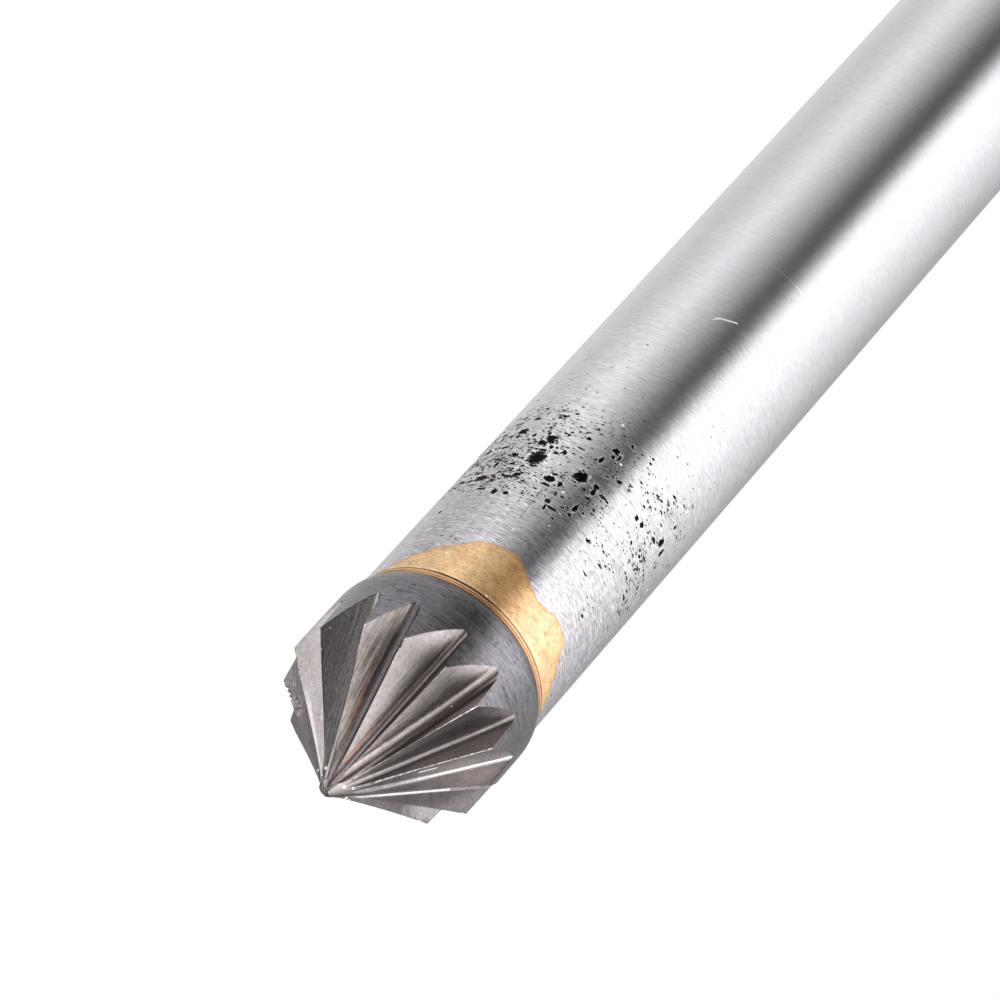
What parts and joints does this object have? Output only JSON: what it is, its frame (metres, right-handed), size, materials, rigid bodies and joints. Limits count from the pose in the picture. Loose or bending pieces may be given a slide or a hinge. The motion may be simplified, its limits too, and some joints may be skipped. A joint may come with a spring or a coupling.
{
  "type": "carbide burr",
  "caption": "Countersink-form rotary burr: a plain round steel shank brazed to a tungsten carbide head with straight ground flutes meeting at a point.",
  "frame": {"origin": "middle of the flat end of the shank, which it stands on", "axes": "+Z along the tool's axis, from the shank's end to the point"},
  "size_m": [0.0032, 0.0032, 0.038],
  "materials": {
    "ground_steel": "fine centreless-ground, with a band of dark pits near the joint",
    "braze": "ground flush, satin",
    "carbide": "ground tungsten carbide, dark satin grey"
  },
  "bodies": {
    "root": {"steel_shank": "ground_steel", "braze_joint": "braze", "carbide_head": "carbide"}
  },
  "joints": []
}
